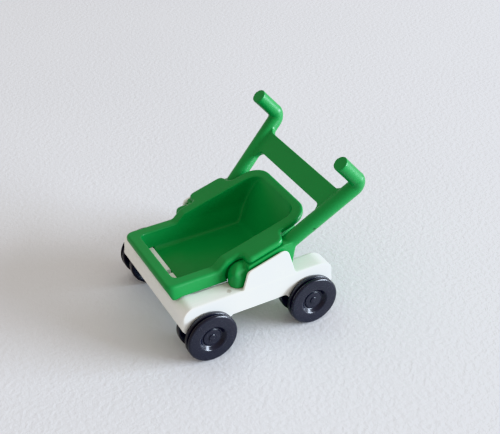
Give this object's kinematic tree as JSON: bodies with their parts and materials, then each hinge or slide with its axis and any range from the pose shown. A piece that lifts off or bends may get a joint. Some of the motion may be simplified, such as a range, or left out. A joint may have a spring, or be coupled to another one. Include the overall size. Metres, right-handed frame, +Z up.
{
  "type": "toy pushchair",
  "caption": "Small moulded toy pushchair: an open tub seat, a raked handle frame with grips, and a flat chassis on double wheels that roll.",
  "frame": {"origin": "on the ground under the middle of the object's bounding box", "axes": "+X forwards to the foot end, +Y to the rider's left, +Z up"},
  "size_m": [0.0542, 0.046, 0.0478],
  "materials": {
    "green_plastic": "glossy injection moulded",
    "white_plastic": "glossy injection moulded",
    "black_plastic": "glossy injection moulded, near-black with a blue cast"
  },
  "bodies": {
    "frame": {"chassis": "white_plastic", "tub": "green_plastic", "handle": "green_plastic"},
    "front_left_wheel": {"wheel_front_left": "black_plastic", "inner_disc_front_left": "black_plastic", "axle_pin_front_left": "black_plastic"},
    "front_right_wheel": {"wheel_front_right": "black_plastic", "inner_disc_front_right": "black_plastic", "axle_pin_front_right": "black_plastic"},
    "rear_left_wheel": {"wheel_rear_left": "black_plastic", "inner_disc_rear_left": "black_plastic", "axle_pin_rear_left": "black_plastic"},
    "rear_right_wheel": {"wheel_rear_right": "black_plastic", "inner_disc_rear_right": "black_plastic", "axle_pin_rear_right": "black_plastic"}
  },
  "joints": [
    {"name": "front_left_wheel_spin", "type": "hinge", "parent": "frame", "child": "front_left_wheel", "pos_m": [0.01903, 0.0183, 0.007], "axis": [0, 1, 0], "continuous": true},
    {"name": "front_right_wheel_spin", "type": "hinge", "parent": "frame", "child": "front_right_wheel", "pos_m": [0.01903, -0.0183, 0.007], "axis": [0, 1, 0], "continuous": true},
    {"name": "rear_left_wheel_spin", "type": "hinge", "parent": "frame", "child": "rear_left_wheel", "pos_m": [-0.01097, 0.0183, 0.007], "axis": [0, 1, 0], "continuous": true},
    {"name": "rear_right_wheel_spin", "type": "hinge", "parent": "frame", "child": "rear_right_wheel", "pos_m": [-0.01097, -0.0183, 0.007], "axis": [0, 1, 0], "continuous": true}
  ]
}
